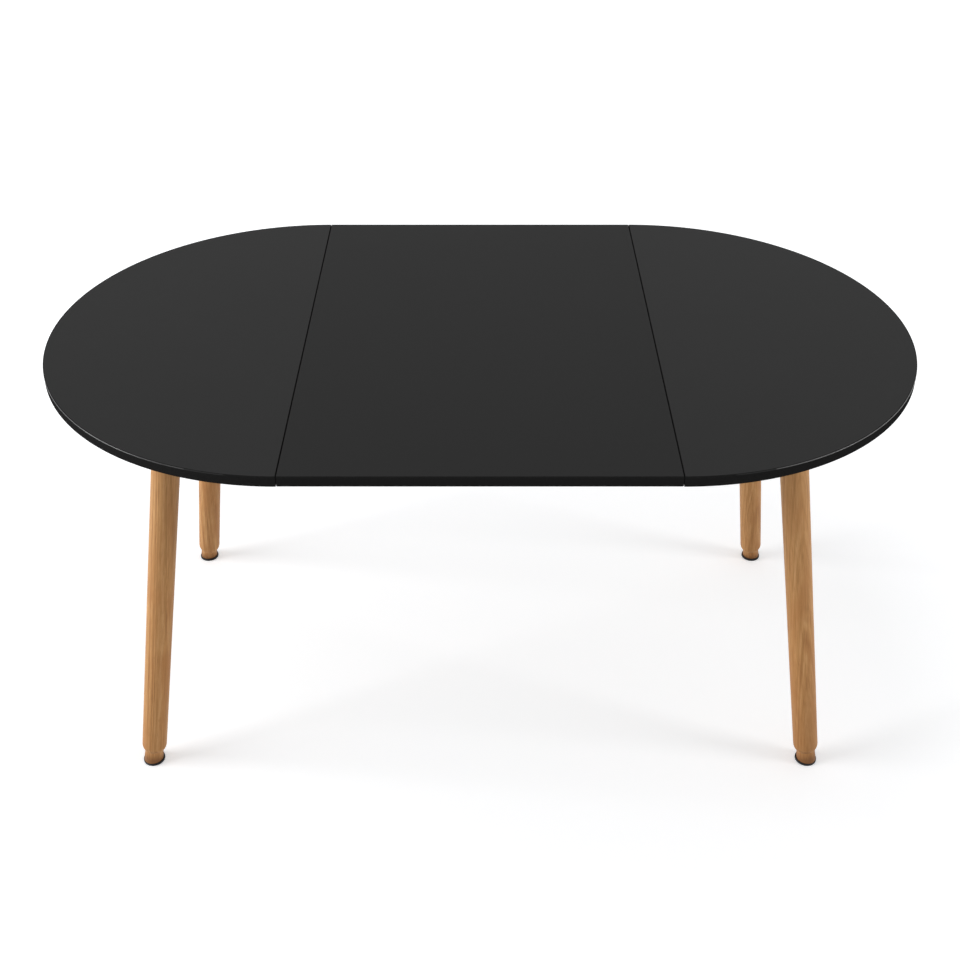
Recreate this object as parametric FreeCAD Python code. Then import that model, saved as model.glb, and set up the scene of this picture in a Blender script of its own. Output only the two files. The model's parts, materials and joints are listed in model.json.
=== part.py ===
import FreeCAD
import Part
import math
import os

# Round extending dining table, drawn apart with its loose leaf laid in.
# Millimetres, +Z up. The origin is on the floor under the middle of the leaf,
# +X runs along the drawing direction and +Y away from the front edge.
# Both halves are one set of pieces. The right half is modelled from its seam outward,
# and the left half is the same set given half a turn about Z.

V = FreeCAD.Vector
UP = V(0, 0, 1)

# Top and leaf
TABLE_HEIGHT = 750.0
TOP_DIAMETER = 900.0
TOP_THICKNESS = 18.0
LEAF_SETBACK = 295.0        # the leaf is this much narrower than the round top, to leave room for the slides
LEAF_RELIEF = 0.5           # the leaf is this much thinner than the halves, so that it drops past them
SEAM_GAP = 1.0              # open joint between the leaf and each half
RIM_ROUND = 2.0             # upper edge of the rim
RIM_UNDER_ROUND = 1.0       # lower edge of the rim
SEAM_BEVEL = 0.8            # eased edges along the seams

# Drawing travel
PULL_TRAVEL = 35.0          # each half pulls this much further out to free the leaf
STOP_GAP = 0.2              # left between tongue and groove end at full pull

# Legs
LEG_RIM_SETBACK = 147.8     # from the rim to the leg's axis at its seat
LEG_BEARING = 44.4          # degrees from the drawing direction
LEG_SPLAY = 11.65           # degrees from upright, along the diagonal
LEG_TOP_DIAMETER = 48.8
LEG_SHOULDER_DIAMETER = 44.8
LEG_SHOULDER_HEIGHT = 32.0
LEG_SHOULDER_ROUND = 20.0
NECK_STEP = 5.6             # from the shoulder in to the neck
NECK_SLOPE = 7.0            # length of the slope from shoulder to neck
NECK_ROUND = 3.0
NECK_COVE = 16.0            # length of the hollow curve from neck to foot
FOOT_FLARE = 0.9            # from the neck out to the foot
GLIDE_LIP = 2.1             # the glide stands out past the foot
GLIDE_THICKNESS = 5.0
GLIDE_INSET = 0.7           # the glide sits inward of the leg's axis
GLIDE_EDGE_ROUND = 1.2
GLIDE_WALL = 1.7            # left above the screw's recess

# Leg blocks and their joints with the legs
BLOCK_SIDE = 96.0
BLOCK_CORNER_ROUND = 6.0
BLOCK_EDGE_BEVEL = 1.5      # around the slanting underside
BLOCK_SCREW_INSET = 14.0
BOLT_DIAMETER = 10.0
BOLT_IN_LEG = 45.0
BOLT_IN_BLOCK = 30.0
BOLT_END_BEVEL = 1.2
INSERT_WALL = 2.9

# Slides
RAIL_CORE = 15.0            # centre rail between its two grooves
GROOVE_DEPTH = 6.5
RAIL_TOP_GAP = 0.5          # centre rail to the underside of the halves
RAIL_LIP = 7.5              # centre rail above the tongue
RAIL_WEB = 11.0             # centre rail between tongue and pinion
RAIL_FOOT = 6.0             # centre rail below the pinion
RUNNER_WIDTH = 24.0
RUNNER_LIFT = 1.0           # runners stand this much above the bottom of the centre rails
SLIDE_SIDE_GAP = 0.8        # between runner and centre rail
BLOCK_GAP = 12.0            # between leg block and outer runner
TONGUE_HEIGHT = 10.0
TONGUE_GAP = 0.3            # above and below the tongue
GROOVE_STOP = 44.0          # from the end of the centre rail to the blind end of its groove
MESH_ALLOWANCE = 12.0       # rack past the pinion's centre at either end of the stroke
RUNNER_TAIL = 12.0          # runner past the end of its rack
END_RAIL_GAP = 10.0         # between the other half's runner and the end rail, table closed

# Pinions and racks that keep the two halves level about the middle
GEAR_MODULE = 1.5
PRESSURE_ANGLE = 20.0
DEDENDUM = 1.25             # in modules
BACKLASH = 0.3
GEAR_THICKNESS = 8.0
RACK_RECESS_GAP = 0.2       # rack tips behind the runner's face
RACK_BACK = 3.0             # rack behind its tooth roots
GEAR_END_GAP = 0.4          # above and below the pinion
RACK_SIDE_GAP = 0.3         # above and below the rack
POCKET_GAP = 1.0            # around the pinion's tips
AXLE_DIAMETER = 6.0
AXLE_RUNNING_GAP = 0.05
AXLE_HOLD = 10.0            # axle length in the rail above the pinion

# Ties, cross rails, side rails, end rails and leaf rests
BAR_EDGE_BEVEL = 1.0        # eased edges of rails, ties, battens and rests
TIE_WIDTH = 30.0
TIE_THICKNESS = 12.0
TIE_FROM_MIDDLE = 92.0
TIE_SCREW_OFFSET = 8.0
TIE_SCREW_BITE = 20.0
CROSS_RAIL_WIDTH = 40.0
CROSS_RAIL_THICKNESS = 16.0
CROSS_RAIL_DROP = 2.0       # below the centre rails
DOWEL_DIAMETER = 8.0
DOWEL_LENGTH = 40.0
DOWEL_SPACING = 20.0
APRON_WIDTH = 20.0
APRON_HEIGHT = 36.0
SIDE_RAIL_SETBACK = 3.0     # from the seam
APRON_SCREW_INSET = 30.0
END_RAIL_SETBACK = 40.0     # from the rim, at its ends
BATTEN_SETBACK = 15.0       # from the leaf's edges
REST_WIDTH = 40.0
REST_THICKNESS = 24.0
REST_REACH = 30.0           # past the seam, under the leaf
REST_HOLD = 60.0            # under the half
REST_RIM_SETBACK = 100.0    # from the rim to the outer rest's middle
REST_GAP = 10.0             # between the rests of the two halves, table closed
REST_TIP_BEVEL = 6.0
REST_SCREW_INSET = 14.0

# Leaf furniture
PAD_LENGTH = 100.0
PAD_WIDTH = 18.0
PAD_PEG_GAP = 36.0          # between pad and peg
PEG_DIAMETER = 8.0
PEG_GAP = 0.3
PEG_REACH = 12.0
PEG_COVER = 6.5             # leaf left above the peg
PEG_TIP_BEVEL = 1.5
PEG_FROM_END = 80.0

# Screws
SCREW_SHANK = 4.5
SCREW_HEAD = 8.5
SCREW_HEAD_HEIGHT = 3.0
SCREW_SOCKET = 3.0          # across the flats
SCREW_SOCKET_DEPTH = 1.8
SCREW_POINT = 4.0
SCREW_POINT_END = 1.0       # diameter of the blunt point
SCREW_GRIP = 20.0           # wood under the head
SCREW_COVER = 5.0           # top left above the point
GLIDE_SCREW_LENGTH = 25.0
HOLE_GAP = 0.1              # around screws and bolts
GLUE_GAP = 0.05             # around dowels, pegs, inserts and axles that are glued or pressed in
HOLE_SPARE = 0.5            # past the end of a screw, bolt or dowel

# Heights and lengths that follow
TOP_RADIUS = TOP_DIAMETER / 2
UNDERSIDE = TABLE_HEIGHT - TOP_THICKNESS
LEAF_WIDTH = TOP_DIAMETER - LEAF_SETBACK
LEAF_HALF = LEAF_WIDTH / 2
LEAF_THICKNESS = TOP_THICKNESS - LEAF_RELIEF
LEAF_UNDERSIDE = TABLE_HEIGHT - LEAF_THICKNESS
HALF_SHIFT = LEAF_HALF + SEAM_GAP

RAIL_WIDTH = RAIL_CORE + 2 * GROOVE_DEPTH
RAIL_TOP = UNDERSIDE - RAIL_TOP_GAP
TONGUE_TOP = RAIL_TOP - RAIL_LIP
TONGUE_BOTTOM = TONGUE_TOP - TONGUE_HEIGHT
GEAR_TOP = TONGUE_BOTTOM - RAIL_WEB
GEAR_BOTTOM = GEAR_TOP - GEAR_THICKNESS
RAIL_BOTTOM = GEAR_BOTTOM - RAIL_FOOT
RUNNER_BOTTOM = RAIL_BOTTOM + RUNNER_LIFT
CROSS_RAIL_TOP = RAIL_BOTTOM - CROSS_RAIL_DROP
CROSS_RAIL_BOTTOM = CROSS_RAIL_TOP - CROSS_RAIL_THICKNESS
APRON_BOTTOM = UNDERSIDE - APRON_HEIGHT

# The lean along X and along Y of a leg that splays on the diagonal
LEAN = math.tan(math.radians(LEG_SPLAY)) / math.sqrt(2)
UPRIGHT = math.cos(math.radians(LEG_SPLAY))
LEG_X = (TOP_RADIUS - LEG_RIM_SETBACK) * math.cos(math.radians(LEG_BEARING))
LEG_Y = (TOP_RADIUS - LEG_RIM_SETBACK) * math.sin(math.radians(LEG_BEARING))
# The block's slanting underside meets the lower edge of the cross rail
SEAT_HEIGHT = CROSS_RAIL_BOTTOM + LEAN * (BLOCK_SIDE - CROSS_RAIL_WIDTH) / 2
LEG_LENGTH = SEAT_HEIGHT / UPRIGHT
SHOULDER_RADIUS = LEG_SHOULDER_DIAMETER / 2
NECK_RADIUS = SHOULDER_RADIUS - NECK_STEP
FOOT_RADIUS = NECK_RADIUS + FOOT_FLARE
GLIDE_RADIUS = FOOT_RADIUS + GLIDE_LIP
BOLT_RADIUS = BOLT_DIAMETER / 2
INSERT_RADIUS = BOLT_RADIUS + HOLE_GAP + INSERT_WALL

# The slides lie between the leg blocks
RUNNER_FACE = RAIL_WIDTH / 2 + SLIDE_SIDE_GAP
RAIL_Y = LEG_Y - BLOCK_SIDE / 2 - BLOCK_GAP - RUNNER_WIDTH - RUNNER_FACE
RUNNER_REACH = HALF_SHIFT + PULL_TRAVEL + MESH_ALLOWANCE + RUNNER_TAIL
RUNNER_END = RUNNER_REACH + END_RAIL_GAP
GROOVE_END = LEAF_HALF - GROOVE_STOP
TONGUE_TIP = RAIL_CORE / 2 + SLIDE_SIDE_GAP

# The smallest even pinion whose racks stay behind the runners' faces
PITCH = math.pi * GEAR_MODULE
HALF_TEETH = math.ceil((RUNNER_FACE + RACK_RECESS_GAP + GEAR_MODULE) / GEAR_MODULE - 1e-6)
GEAR_TEETH = 2 * HALF_TEETH
PITCH_RADIUS = GEAR_MODULE * HALF_TEETH
TIP_RADIUS = PITCH_RADIUS + GEAR_MODULE
ROOT_RADIUS = PITCH_RADIUS - DEDENDUM * GEAR_MODULE
RACK_TIP = PITCH_RADIUS - GEAR_MODULE
RACK_ROOT = PITCH_RADIUS + DEDENDUM * GEAR_MODULE
RACK_REAR = RACK_ROOT + RACK_BACK

SHANK_RADIUS = SCREW_SHANK / 2
HEAD_RADIUS = SCREW_HEAD / 2
SCREW_BITE = LEAF_THICKNESS - SCREW_COVER
FRAME_SCREW_LENGTH = SCREW_GRIP + SCREW_BITE
OUTER_REST_Y = TOP_RADIUS - REST_RIM_SETBACK
INNER_REST_Y = OUTER_REST_Y - REST_WIDTH - REST_GAP
PEG_X = LEAF_HALF - PEG_FROM_END
PAD_X = PEG_X - (PEG_DIAMETER + PAD_LENGTH) / 2 - PAD_PEG_GAP


def box(x0, x1, y0, y1, z0, z1):
    return Part.makeBox(x1 - x0, y1 - y0, z1 - z0, V(x0, y0, z0))


def bar(x0, x1, y0, y1, z0, z1):
    """A planed bar with all its edges eased."""
    plain = box(x0, x1, y0, y1, z0, z1)
    return plain.makeChamfer(BAR_EDGE_BEVEL, plain.Edges)


def cylinder(radius, x, y, z0, z1):
    return Part.makeCylinder(radius, z1 - z0, V(x, y, z0))


def cut(shape, tools):
    """Cut the tools out of a solid that stays in one piece."""
    result = shape.cut(tools)
    assert len(result.Solids) == 1
    return result.Solids[0]


def fuse(shape, others):
    result = shape.fuse(others).removeSplitter()
    assert len(result.Solids) == 1
    return result.Solids[0]


def prism(points, direction):
    """A straight-sided solid from a closed run of points."""
    wire = Part.makePolygon(points + [points[0]])
    return Part.Face(wire).extrude(direction)


def turned_from(edges):
    """A solid turned about Z from the edges of its half section, which close along the axis."""
    return Part.Face(Part.Wire(edges)).revolve(V(0, 0, 0), UP, 360)


def turned(profile):
    """A solid turned about Z from (radius, height) points that start and end on the axis."""
    points = [V(radius, 0, height) for radius, height in profile]
    return turned_from(Part.makePolygon(points + [points[0]]).Edges)


def round_edges(shape, radius, chosen):
    return shape.makeFillet(radius, [edge for edge in shape.Edges if chosen(edge)])


def is_upright(edge):
    return isinstance(edge.Curve, Part.Line) and abs(edge.Curve.Direction.z) > 0.999


def screw(x, y, seat, length):
    """A socket-head wood screw pointing up, with its head under the seat height."""
    body = turned([
        (0, -SCREW_HEAD_HEIGHT),
        (HEAD_RADIUS, -SCREW_HEAD_HEIGHT),
        (HEAD_RADIUS, 0),
        (SHANK_RADIUS, 0),
        (SHANK_RADIUS, length - SCREW_POINT),
        (SCREW_POINT_END / 2, length),
        (0, length),
    ])
    corner = SCREW_SOCKET / math.sqrt(3)
    hexagon = []
    for step in range(6):
        angle = math.radians(60 * step)
        hexagon.append(V(corner * math.cos(angle), corner * math.sin(angle), -SCREW_HEAD_HEIGHT))
    body = cut(body, [prism(hexagon, UP * SCREW_SOCKET_DEPTH)])
    body.translate(V(x, y, seat))
    return body


def screw_hole(x, y, seat, length, below):
    """The shank's hole and the head's counterbore, open down to a height below the piece."""
    shank = cylinder(SHANK_RADIUS + HOLE_GAP, x, y, seat, seat + length + HOLE_SPARE)
    head = cylinder(HEAD_RADIUS + HOLE_GAP, x, y, below, seat)
    return [shank, head]


def frame_screws(places, underside):
    seat = underside - SCREW_GRIP
    return [screw(x, y, seat, FRAME_SCREW_LENGTH) for x, y in places]


def frame_screw_holes(places, underside):
    """Holes for the screws that pull a rail or block up against a top."""
    holes = []
    for x, y in places:
        holes += screw_hole(x, y, underside - SCREW_GRIP, FRAME_SCREW_LENGTH, CROSS_RAIL_BOTTOM - BLOCK_SIDE)
    return holes


# Half of the top and the leaf

def rim_edges(underside):
    """The rim's section as edges, from the middle of the underside round to the middle of the top."""
    radius = TOP_RADIUS
    low = RIM_UNDER_ROUND
    high = RIM_ROUND
    diagonal = math.sqrt(0.5)
    low_middle = V(radius - low + low * diagonal, 0, underside + low - low * diagonal)
    high_middle = V(radius - high + high * diagonal, 0, TABLE_HEIGHT - high + high * diagonal)
    under = V(0, 0, underside)
    a = V(radius - low, 0, underside)
    b = V(radius, 0, underside + low)
    c = V(radius, 0, TABLE_HEIGHT - high)
    d = V(radius - high, 0, TABLE_HEIGHT)
    over = V(0, 0, TABLE_HEIGHT)
    return [
        Part.makeLine(under, a),
        Part.Arc(a, low_middle, b).toShape(),
        Part.makeLine(b, c),
        Part.Arc(c, high_middle, d).toShape(),
        Part.makeLine(d, over),
        Part.makeLine(over, under),
    ]


def seam_bevels(x, inward, underside):
    """Two prisms that ease the upper and lower edges of a seam at x."""
    start = -TOP_RADIUS
    along = V(0, TOP_DIAMETER, 0)
    bevels = []
    for height, direction in ((TABLE_HEIGHT, -1), (underside, 1)):
        points = [
            V(x, start, height),
            V(x + inward * SEAM_BEVEL, start, height),
            V(x, start, height + direction * SEAM_BEVEL),
        ]
        bevels.append(prism(points, along))
    return bevels


def half_top(screw_places):
    face = Part.Face(Part.Wire(rim_edges(UNDERSIDE)))
    face.rotate(V(0, 0, 0), UP, -90)
    half = face.revolve(V(0, 0, 0), UP, 180)
    return cut(half, seam_bevels(0, 1, UNDERSIDE) + frame_screw_holes(screw_places, UNDERSIDE))


def peg_places():
    return [(side * PEG_X, rail * RAIL_Y) for side in (-1, 1) for rail in (-1, 1)]


def leaf_board(screw_places):
    face = Part.Face(Part.Wire(rim_edges(LEAF_UNDERSIDE)))
    face.rotate(V(0, 0, 0), UP, 90)
    back = face.extrude(V(LEAF_WIDTH, 0, 0))
    back.translate(V(-LEAF_HALF, 0, 0))
    front = back.copy()
    front.rotate(V(0, 0, 0), UP, 180)
    tools = seam_bevels(-LEAF_HALF, 1, LEAF_UNDERSIDE) + seam_bevels(LEAF_HALF, -1, LEAF_UNDERSIDE)
    tools += frame_screw_holes(screw_places, LEAF_UNDERSIDE)
    for x, y in peg_places():
        top = TABLE_HEIGHT - PEG_COVER
        tools.append(cylinder(PEG_DIAMETER / 2 + GLUE_GAP, x, y, LEAF_UNDERSIDE, top))
    return cut(fuse(back, [front]), tools)


def leaf_pegs():
    pegs = []
    low = LEAF_UNDERSIDE - PEG_REACH
    high = TABLE_HEIGHT - PEG_COVER
    radius = PEG_DIAMETER / 2
    for x, y in peg_places():
        peg = turned([
            (0, low),
            (radius - PEG_TIP_BEVEL, low),
            (radius, low + PEG_TIP_BEVEL),
            (radius, high),
            (0, high),
        ])
        peg.translate(V(x, y, 0))
        pegs.append(peg)
    return pegs


def leaf_pads():
    pads = []
    for side in (-1, 1):
        for rail in (-1, 1):
            x = side * PAD_X
            y = rail * RAIL_Y
            pads.append(box(x - PAD_LENGTH / 2, x + PAD_LENGTH / 2,
                            y - PAD_WIDTH / 2, y + PAD_WIDTH / 2, RAIL_TOP, LEAF_UNDERSIDE))
    return pads


def batten_screw_places(side):
    x = LEAF_HALF - BATTEN_SETBACK - APRON_SCREW_INSET
    return [(step * x, side * LEG_Y) for step in (-1, 0, 1)]


def leaf_batten(side):
    reach = LEAF_HALF - BATTEN_SETBACK
    y = side * LEG_Y
    bottom = LEAF_UNDERSIDE - APRON_HEIGHT
    body = bar(-reach, reach, y - APRON_WIDTH / 2, y + APRON_WIDTH / 2, bottom, LEAF_UNDERSIDE)
    return cut(body, frame_screw_holes(batten_screw_places(side), LEAF_UNDERSIDE))


# Legs: side is 1 for the back leg and -1 for the front leg

def leg_axis(side):
    axis = V(-LEAN, -side * LEAN, 1)
    axis.normalize()
    return axis


def leg_point(side, height):
    """The point on the leg's axis at a height."""
    rise = height - SEAT_HEIGHT
    return V(LEG_X - LEAN * rise, side * (LEG_Y - LEAN * rise), height)


def lean_with_leg(shape, side, height):
    """Turn an upright shape at the origin onto the leg's axis, with its origin at a height on it."""
    shape.Placement = FreeCAD.Placement(leg_point(side, height), FreeCAD.Rotation(UP, leg_axis(side)))
    return shape


def glide_centre(side):
    inward = GLIDE_INSET / math.sqrt(2)
    foot = leg_point(side, GLIDE_THICKNESS)
    return foot.x - inward, foot.y - side * inward


def leg_section():
    """Half of the leg's section along its axis, from below the floor up to the seat."""
    shoulder = LEG_SHOULDER_HEIGHT / UPRIGHT
    neck = shoulder - NECK_SLOPE
    # The hollow curve leaves the neck in line with the axis and turns out to the foot
    turn = 2 * math.atan2(FOOT_FLARE, NECK_COVE)
    cove = NECK_COVE / math.sin(turn)
    low = V(0, 0, -LEG_SHOULDER_HEIGHT)
    foot = V(FOOT_RADIUS, 0, -LEG_SHOULDER_HEIGHT)
    cove_low = V(FOOT_RADIUS, 0, neck - NECK_COVE)
    cove_middle = V(NECK_RADIUS + cove * (1 - math.cos(turn / 2)), 0, neck - cove * math.sin(turn / 2))
    cove_high = V(NECK_RADIUS, 0, neck)
    edge = V(SHOULDER_RADIUS, 0, shoulder)
    seat_edge = V(LEG_TOP_DIAMETER / 2, 0, LEG_LENGTH)
    seat = V(0, 0, LEG_LENGTH)
    return [
        Part.makeLine(low, foot),
        Part.makeLine(foot, cove_low),
        Part.Arc(cove_low, cove_middle, cove_high).toShape(),
        Part.makeLine(cove_high, edge),
        Part.makeLine(edge, seat_edge),
        Part.makeLine(seat_edge, seat),
        Part.makeLine(seat, low),
    ]


def turned_edge(height):
    """Picks the edge that a turned piece has at one height along its axis."""
    return lambda edge: isinstance(edge.Curve, Part.Circle) and abs(edge.Curve.Center.z - height) < 1e-6


def leg(side):
    shoulder = LEG_SHOULDER_HEIGHT / UPRIGHT
    body = turned_from(leg_section())
    body = round_edges(body, NECK_ROUND, turned_edge(shoulder - NECK_SLOPE))
    body = round_edges(body, LEG_SHOULDER_ROUND, turned_edge(shoulder))
    bolt_hole = cylinder(BOLT_RADIUS + HOLE_GAP, 0, 0, LEG_LENGTH - BOLT_IN_LEG - HOLE_SPARE, LEG_LENGTH)
    body = lean_with_leg(cut(body, [bolt_hole]), side, 0)
    foot = leg_point(side, 0)
    below = box(foot.x - BLOCK_SIDE, foot.x + BLOCK_SIDE, foot.y - BLOCK_SIDE, foot.y + BLOCK_SIDE,
                -BLOCK_SIDE, GLIDE_THICKNESS)
    x, y = glide_centre(side)
    pilot_top = GLIDE_THICKNESS - GLIDE_WALL + GLIDE_SCREW_LENGTH + HOLE_SPARE
    pilot = cylinder(SHANK_RADIUS + HOLE_GAP, x, y, 0, pilot_top)
    return cut(body, [below, pilot])


def glide(side):
    x, y = glide_centre(side)
    disc = cylinder(GLIDE_RADIUS, x, y, 0, GLIDE_THICKNESS)
    disc = round_edges(disc, GLIDE_EDGE_ROUND, lambda edge: isinstance(edge.Curve, Part.Circle))
    return cut(disc, screw_hole(x, y, GLIDE_THICKNESS - GLIDE_WALL, GLIDE_SCREW_LENGTH, -GLIDE_THICKNESS))


def glide_screw(side):
    x, y = glide_centre(side)
    return screw(x, y, GLIDE_THICKNESS - GLIDE_WALL, GLIDE_SCREW_LENGTH)


def hanger_bolt(side):
    tip = BOLT_RADIUS - BOLT_END_BEVEL
    body = turned([
        (0, -BOLT_IN_LEG),
        (tip, -BOLT_IN_LEG),
        (BOLT_RADIUS, -BOLT_IN_LEG + BOLT_END_BEVEL),
        (BOLT_RADIUS, BOLT_IN_BLOCK - BOLT_END_BEVEL),
        (tip, BOLT_IN_BLOCK),
        (0, BOLT_IN_BLOCK),
    ])
    return lean_with_leg(body, side, SEAT_HEIGHT)


def threaded_insert(side):
    sleeve = cylinder(INSERT_RADIUS, 0, 0, 0, BOLT_IN_BLOCK)
    sleeve = cut(sleeve, [cylinder(BOLT_RADIUS + HOLE_GAP, 0, 0, 0, BOLT_IN_BLOCK)])
    return lean_with_leg(sleeve, side, SEAT_HEIGHT)


# Frame of a half

def block_screw_places(side):
    reach = BLOCK_SIDE / 2 - BLOCK_SCREW_INSET
    return [(LEG_X + dx * reach, side * LEG_Y + dy * reach) for dx in (-1, 1) for dy in (-1, 1)]


def dowel_places(side):
    """Ends of the cross rail, where its dowels are centred."""
    y = side * (LEG_Y - BLOCK_SIDE / 2)
    return [(LEG_X + step * DOWEL_SPACING / 2, y) for step in (-1, 1)]


def dowel(x, y, radius, length):
    height = (CROSS_RAIL_TOP + CROSS_RAIL_BOTTOM) / 2
    return Part.makeCylinder(radius, length, V(x, y - length / 2, height), V(0, 1, 0))


def dowel_holes(side):
    length = DOWEL_LENGTH + 2 * HOLE_SPARE
    return [dowel(x, y, DOWEL_DIAMETER / 2 + GLUE_GAP, length) for x, y in dowel_places(side)]


def cross_rail_dowels():
    places = dowel_places(1) + dowel_places(-1)
    return [dowel(x, y, DOWEL_DIAMETER / 2, DOWEL_LENGTH) for x, y in places]


def leg_block(side):
    half = BLOCK_SIDE / 2
    y = side * LEG_Y
    body = box(LEG_X - half, LEG_X + half, y - half, y + half, SEAT_HEIGHT - half, UNDERSIDE)
    body = round_edges(body, BLOCK_CORNER_ROUND, is_upright)
    below = lean_with_leg(box(-BLOCK_SIDE, BLOCK_SIDE, -BLOCK_SIDE, BLOCK_SIDE, -BLOCK_SIDE, 0), side, SEAT_HEIGHT)
    body = cut(body, [below])
    seat = leg_point(side, SEAT_HEIGHT)
    body = body.makeChamfer(BLOCK_EDGE_BEVEL, [edge for edge in body.Edges if all(
        abs((vertex.Point - seat).dot(leg_axis(side))) < 1e-3 for vertex in edge.Vertexes)])
    insert_hole = cylinder(INSERT_RADIUS + GLUE_GAP, 0, 0, 0, BOLT_IN_BLOCK + HOLE_SPARE)
    tools = [lean_with_leg(insert_hole, side, SEAT_HEIGHT)]
    tools += frame_screw_holes(block_screw_places(side), UNDERSIDE)
    tools += dowel_holes(side)
    return cut(body, tools)


def cross_rail():
    reach = LEG_Y - BLOCK_SIDE / 2
    width = CROSS_RAIL_WIDTH / 2
    body = bar(LEG_X - width, LEG_X + width, -reach, reach, CROSS_RAIL_BOTTOM, CROSS_RAIL_TOP)
    return cut(body, dowel_holes(1) + dowel_holes(-1))


def side_rail_screw_places(side):
    far = LEG_X - BLOCK_SIDE / 2 - APRON_SCREW_INSET
    return [(x, side * LEG_Y) for x in (SIDE_RAIL_SETBACK + APRON_SCREW_INSET, far)]


def side_rail(side):
    y = side * LEG_Y
    body = bar(SIDE_RAIL_SETBACK, LEG_X - BLOCK_SIDE / 2, y - APRON_WIDTH / 2, y + APRON_WIDTH / 2,
               APRON_BOTTOM, UNDERSIDE)
    return cut(body, frame_screw_holes(side_rail_screw_places(side), UNDERSIDE))


def end_rail_reach():
    far = RUNNER_END + APRON_WIDTH
    return math.sqrt(TOP_RADIUS ** 2 - far ** 2) - END_RAIL_SETBACK


def end_rail_screw_places():
    x = RUNNER_END + APRON_WIDTH / 2
    y = end_rail_reach() - APRON_SCREW_INSET
    return [(x, step * y) for step in (-1, 0, 1)]


def end_rail():
    reach = end_rail_reach()
    body = bar(RUNNER_END, RUNNER_END + APRON_WIDTH, -reach, reach, APRON_BOTTOM, UNDERSIDE)
    return cut(body, frame_screw_holes(end_rail_screw_places(), UNDERSIDE))


REST_LINES = (OUTER_REST_Y, -INNER_REST_Y)


def rest_screw_places():
    ends = (REST_SCREW_INSET, REST_HOLD - REST_SCREW_INSET)
    return [(x, y) for y in REST_LINES for x in ends]


def leaf_rests():
    """Two tongues that reach under the leaf and hold its edge level with the half."""
    rests = []
    for y in REST_LINES:
        body = bar(-REST_REACH, REST_HOLD, y - REST_WIDTH / 2, y + REST_WIDTH / 2,
                   UNDERSIDE - REST_THICKNESS, UNDERSIDE)
        tip = [
            V(-REST_REACH, y - REST_WIDTH / 2, UNDERSIDE),
            V(-REST_REACH + REST_TIP_BEVEL, y - REST_WIDTH / 2, UNDERSIDE),
            V(-REST_REACH, y - REST_WIDTH / 2, UNDERSIDE - REST_TIP_BEVEL),
        ]
        places = [place for place in rest_screw_places() if place[1] == y]
        tools = frame_screw_holes(places, UNDERSIDE) + [prism(tip, V(0, REST_WIDTH, 0))]
        rests.append(cut(body, tools))
    return rests


# Slides: line is the Y of the centre rail that a runner lies along

def runner_screw_places(line):
    recess = RACK_REAR - RUNNER_FACE
    y = line + RUNNER_FACE + (RUNNER_WIDTH + recess) / 2
    first = APRON_SCREW_INSET
    step = (RUNNER_END - 2 * APRON_SCREW_INSET) / 3
    return [(first + count * step, y) for count in range(4)]


def rack_ends():
    """Whole pitches of rack from the pinion, inward and outward, with the table as drawn."""
    inward = math.ceil((PULL_TRAVEL + MESH_ALLOWANCE) / PITCH)
    outward = math.ceil((HALF_SHIFT + MESH_ALLOWANCE) / PITCH)
    return inward, outward


def runner_length(line, start, end, top):
    """A length of runner with eased lower edges."""
    face = line + RUNNER_FACE
    outer = face + RUNNER_WIDTH
    ease = BAR_EDGE_BEVEL
    section = [
        V(start, face, RUNNER_BOTTOM + ease),
        V(start, face + ease, RUNNER_BOTTOM),
        V(start, outer - ease, RUNNER_BOTTOM),
        V(start, outer, RUNNER_BOTTOM + ease),
        V(start, outer, top),
        V(start, face, top),
    ]
    return prism(section, V(end - start, 0, 0))


def runner(line):
    face = line + RUNNER_FACE
    held = runner_length(line, 0, RUNNER_END, UNDERSIDE)
    reach = runner_length(line, -RUNNER_REACH, 0, RAIL_TOP)
    tongue_end = GROOVE_END - PULL_TRAVEL - STOP_GAP - HALF_SHIFT
    tongue = box(-RUNNER_REACH, tongue_end, line + TONGUE_TIP, face, TONGUE_BOTTOM, TONGUE_TOP)
    body = fuse(held, [reach, tongue])
    inward, outward = rack_ends()
    recess = box(-HALF_SHIFT - inward * PITCH, -HALF_SHIFT + outward * PITCH, face, line + RACK_REAR,
                 GEAR_BOTTOM - RACK_SIDE_GAP, GEAR_TOP + RACK_SIDE_GAP)
    return cut(body, [recess] + frame_screw_holes(runner_screw_places(line), UNDERSIDE))


def rack(line):
    """Straight teeth with a space facing the pinion's middle when the table is as drawn."""
    slope = math.tan(math.radians(PRESSURE_ANGLE))
    waist = (PITCH - BACKLASH) / 4
    tip = waist - slope * (PITCH_RADIUS - RACK_TIP)
    root = waist + slope * (RACK_ROOT - PITCH_RADIUS)
    inward, outward = rack_ends()
    start = -HALF_SHIFT - inward * PITCH
    end = -HALF_SHIFT + outward * PITCH
    points = [V(start, line + RACK_REAR, GEAR_BOTTOM), V(start, line + RACK_ROOT, GEAR_BOTTOM)]
    for count in range(inward + outward):
        middle = start + (count + 0.5) * PITCH
        for dx, y in ((-root, RACK_ROOT), (-tip, RACK_TIP), (tip, RACK_TIP), (root, RACK_ROOT)):
            points.append(V(middle + dx, line + y, GEAR_BOTTOM))
    points += [V(end, line + RACK_ROOT, GEAR_BOTTOM), V(end, line + RACK_REAR, GEAR_BOTTOM)]
    return prism(points, UP * GEAR_THICKNESS)


def involute(angle):
    return math.tan(angle) - angle


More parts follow.
